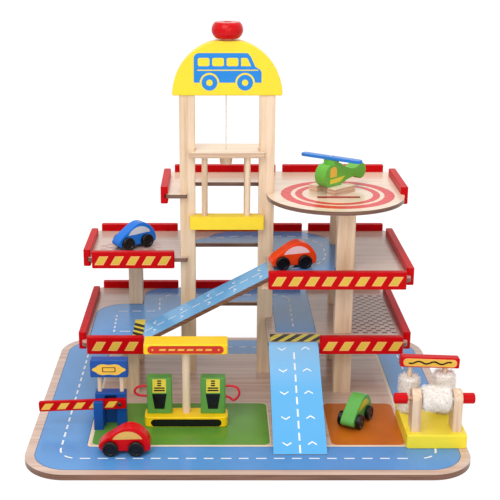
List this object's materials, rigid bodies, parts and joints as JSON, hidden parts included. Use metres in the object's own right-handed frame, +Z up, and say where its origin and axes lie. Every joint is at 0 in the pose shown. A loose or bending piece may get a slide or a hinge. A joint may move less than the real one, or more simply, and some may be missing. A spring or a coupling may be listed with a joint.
{
  "type": "toy parking garage with lift",
  "caption": "Wooden toy parking garage with a winding lift, ramps, petrol station, ticket booth, car wash, cars and a helicopter.",
  "frame": {"origin": "centre of the baseboard's underside", "axes": "+X to the right of a viewer at the front, +Y to the back, +Z up"},
  "size_m": [0.6104, 0.482, 0.5543],
  "materials": {
    "natural_wood": "satin",
    "printed_board": "satin",
    "printed_deck": "satin",
    "red_paint": "satin",
    "yellow_paint": "satin",
    "blue_paint": "satin",
    "green_paint": "satin",
    "orange_paint": "satin",
    "blue_ramp_print": "satin",
    "black_wheel": "satin",
    "white_fleece": "matte",
    "lift_cord_fibre": "matte",
    "red_hose": "satin",
    "steel_screw": "satin"
  },
  "bodies": {
    "garage": {"baseboard": "printed_board", "deck_level_1": "printed_deck", "deck_level_2": "printed_deck", "deck_level_3": "printed_deck", "tower_posts": "natural_wood", "support_posts": "natural_wood", "front_rails_level_1": "red_paint", "front_rails_level_2": "red_paint", "plain_rails_level_1": "red_paint", "plain_rails_level_2": "red_paint", "plain_rails_level_3": "red_paint", "lower_ramp": "blue_ramp_print", "upper_ramp": "blue_ramp_print", "ramp_ledges": "natural_wood", "arch_block": "yellow_paint", "petrol_base": "yellow_paint", "petrol_canopy": "yellow_paint", "petrol_post": "natural_wood", "petrol_pumps": "green_paint", "pump_hose_left": "red_hose", "pump_hose_right": "red_hose", "booth_body": "blue_paint", "booth_sign": "blue_paint", "booth_dowels": "natural_wood", "booth_upright": "blue_paint", "barrier_screw": "steel_screw", "wash_base": "yellow_paint", "wash_posts": "natural_wood", "brush_dowels": "natural_wood", "wash_sign": "red_paint"},
    "lift_cage": {"cage_top_plate": "natural_wood", "cage_front_bar": "yellow_paint", "cage_floor": "natural_wood", "cage_dowels": "natural_wood", "cord_bead": "natural_wood", "lift_cord": "lift_cord_fibre"},
    "winder": {"lift_knob": "red_paint", "winding_spindle": "natural_wood"},
    "barrier": {"barrier_arm": "red_paint"},
    "wash_roller": {"roller_axle": "natural_wood", "roller_knobs": "red_paint", "roller_fleece": "white_fleece"},
    "brush_left": {"brush_fleece_left": "white_fleece"},
    "brush_right": {"brush_fleece_right": "white_fleece"},
    "helicopter": {"helicopter_body": "green_paint", "helicopter_skids": "natural_wood", "rotor_pin": "steel_screw"},
    "rotor": {"rotor_blade": "blue_paint"},
    "red_car": {"red_car_body": "red_paint"},
    "red_car_front_axle": {"red_car_front_wheels": "black_wheel"},
    "red_car_rear_axle": {"red_car_rear_wheels": "black_wheel"},
    "green_car": {"green_car_body": "green_paint"},
    "green_car_front_axle": {"green_car_front_wheels": "black_wheel"},
    "green_car_rear_axle": {"green_car_rear_wheels": "black_wheel"},
    "blue_car": {"blue_car_body": "blue_paint"},
    "blue_car_front_axle": {"blue_car_front_wheels": "black_wheel"},
    "blue_car_rear_axle": {"blue_car_rear_wheels": "black_wheel"},
    "orange_car": {"orange_car_body": "orange_paint"},
    "orange_car_front_axle": {"orange_car_front_wheels": "black_wheel"},
    "orange_car_rear_axle": {"orange_car_rear_wheels": "black_wheel"}
  },
  "joints": [
    {"name": "lift_slide", "type": "slide", "parent": "garage", "child": "lift_cage", "axis": [0, 0, 1], "range_m": [-0.238, 0.075], "deforming": ["lift_cord"]},
    {"name": "knob_turn", "type": "hinge", "parent": "garage", "child": "winder", "pos_m": [-0.026, 0.101, 0.54], "axis": [0, 0, 1], "range_deg": [-2400, 780]},
    {"name": "barrier_swing", "type": "hinge", "parent": "garage", "child": "barrier", "pos_m": [-0.1785, -0.10165, 0.0448], "axis": [0, 1, 0], "range_deg": [-8, 85]},
    {"name": "roller_spin", "type": "hinge", "parent": "garage", "child": "wash_roller", "pos_m": [0.258, -0.1445, 0.0725], "axis": [1, 0, 0], "continuous": true},
    {"name": "brush_left_spin", "type": "hinge", "parent": "garage", "child": "brush_left", "pos_m": [0.2303, -0.09, 0.055], "axis": [0, 0, 1], "continuous": true},
    {"name": "brush_right_spin", "type": "hinge", "parent": "garage", "child": "brush_right", "pos_m": [0.2793, -0.09, 0.058], "axis": [0, 0, 1], "continuous": true},
    {"name": "helicopter_lift_off", "type": "slide", "parent": "garage", "child": "helicopter", "axis": [0, 0, 1], "range_m": [0, 0.15]},
    {"name": "rotor_spin", "type": "hinge", "parent": "helicopter", "child": "rotor", "pos_m": [0.13112, 0.10222, 0.353], "axis": [0, 0, 1], "continuous": true},
    {"name": "red_car_drive", "type": "slide", "parent": "garage", "child": "red_car", "axis": [-1, 0, 0], "range_m": [-0.12, 0.05]},
    {"name": "red_car_front_roll", "type": "hinge", "parent": "red_car", "child": "red_car_front_axle", "pos_m": [-0.1841, -0.1755, 0.0187], "axis": [0, -1, 0], "range_deg": [-675, 293]},
    {"name": "red_car_rear_roll", "type": "hinge", "parent": "red_car", "child": "red_car_rear_axle", "pos_m": [-0.1497, -0.1755, 0.0187], "axis": [0, -1, 0], "range_deg": [-675, 293]},
    {"name": "green_car_drive", "type": "slide", "parent": "garage", "child": "green_car", "axis": [-0.4848, -0.8746, 0], "range_m": [-0.03, 0.022]},
    {"name": "green_car_front_roll", "type": "hinge", "parent": "green_car", "child": "green_car_front_axle", "pos_m": [0.14866, -0.10054, 0.0187], "axis": [0.8746, -0.4848, 0], "range_deg": [-184, 141]},
    {"name": "green_car_rear_roll", "type": "hinge", "parent": "green_car", "child": "green_car_rear_axle", "pos_m": [0.16534, -0.07046, 0.0187], "axis": [0.8746, -0.4848, 0], "range_deg": [-184, 141]},
    {"name": "blue_car_drive", "type": "slide", "parent": "garage", "child": "blue_car", "axis": [-0.809, -0.5878, 0], "range_m": [-0.05, 0.03]},
    {"name": "blue_car_front_roll", "type": "hinge", "parent": "blue_car", "child": "blue_car_front_axle", "pos_m": [-0.18691, 0.13189, 0.2117], "axis": [0.5878, -0.809, 0], "range_deg": [-293, 184]},
    {"name": "blue_car_rear_roll", "type": "hinge", "parent": "blue_car", "child": "blue_car_rear_axle", "pos_m": [-0.15909, 0.15211, 0.2117], "axis": [0.5878, -0.809, 0], "range_deg": [-293, 184]},
    {"name": "orange_car_drive", "type": "slide", "parent": "garage", "child": "orange_car", "axis": [-0.9703, -0.2419, 0], "range_m": [-0.03, 0.004]},
    {"name": "orange_car_front_roll", "type": "hinge", "parent": "orange_car", "child": "orange_car_front_axle", "pos_m": [0.05281, 0.03534, 0.2117], "axis": [0.2419, -0.9703, 0], "range_deg": [-184, 42]},
    {"name": "orange_car_rear_roll", "type": "hinge", "parent": "orange_car", "child": "orange_car_rear_axle", "pos_m": [0.08619, 0.04366, 0.2117], "axis": [0.2419, -0.9703, 0], "range_deg": [-184, 42]}
  ],
  "couplings": [
    {"joint": "knob_turn", "follows": "lift_slide", "rad_per_m": 173.9},
    {"joint": "red_car_front_roll", "follows": "red_car_drive", "rad_per_m": 95.24},
    {"joint": "red_car_rear_roll", "follows": "red_car_drive", "rad_per_m": 95.24},
    {"joint": "green_car_front_roll", "follows": "green_car_drive", "rad_per_m": 95.24},
    {"joint": "green_car_rear_roll", "follows": "green_car_drive", "rad_per_m": 95.24},
    {"joint": "blue_car_front_roll", "follows": "blue_car_drive", "rad_per_m": 95.24},
    {"joint": "blue_car_rear_roll", "follows": "blue_car_drive", "rad_per_m": 95.24},
    {"joint": "orange_car_front_roll", "follows": "orange_car_drive", "rad_per_m": 95.24},
    {"joint": "orange_car_rear_roll", "follows": "orange_car_drive", "rad_per_m": 95.24}
  ]
}
